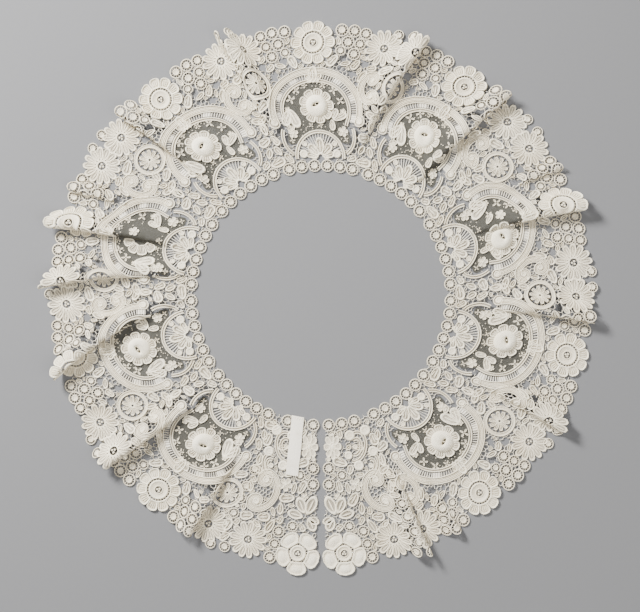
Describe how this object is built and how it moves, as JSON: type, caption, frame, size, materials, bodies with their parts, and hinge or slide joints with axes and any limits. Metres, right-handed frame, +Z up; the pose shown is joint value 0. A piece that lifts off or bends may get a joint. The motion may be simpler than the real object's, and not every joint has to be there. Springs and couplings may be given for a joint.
{
  "type": "bertha collar",
  "caption": "Deep lace bertha collar lying open in a flat ring, with soft radial folds, net medallions with raised roses, a scalloped hem and a front opening.",
  "frame": {"origin": "middle of the collar's box, on the surface that it lies on", "axes": "+Z up off the surface, +Y towards the back of the neck, -Y towards the front opening"},
  "size_m": [0.4708, 0.471, 0.0128],
  "materials": {
    "lace": "ivory linen and cotton thread, matt, dense clothwork with raised edges",
    "net": "fine open needle-made net, matt",
    "tape": "plain woven cotton tape, matt"
  },
  "bodies": {
    "root": {"front_end_right": "lace", "section_1": "lace", "section_2": "lace", "section_3": "lace", "section_4": "lace", "section_5": "lace", "section_6": "lace", "section_7": "lace", "section_8": "lace", "section_9": "lace", "front_end_left": "lace", "medallion_1": "net", "medallion_2": "net", "medallion_3": "net", "medallion_4": "net", "medallion_5": "net", "medallion_6": "net", "medallion_7": "net", "medallion_8": "net", "medallion_9": "net", "rose_1": "lace", "rose_2": "lace", "rose_3": "lace", "rose_4": "lace", "rose_5": "lace", "rose_6": "lace", "rose_8": "lace", "rose_9": "lace", "label_tape": "tape"}
  },
  "joints": []
}
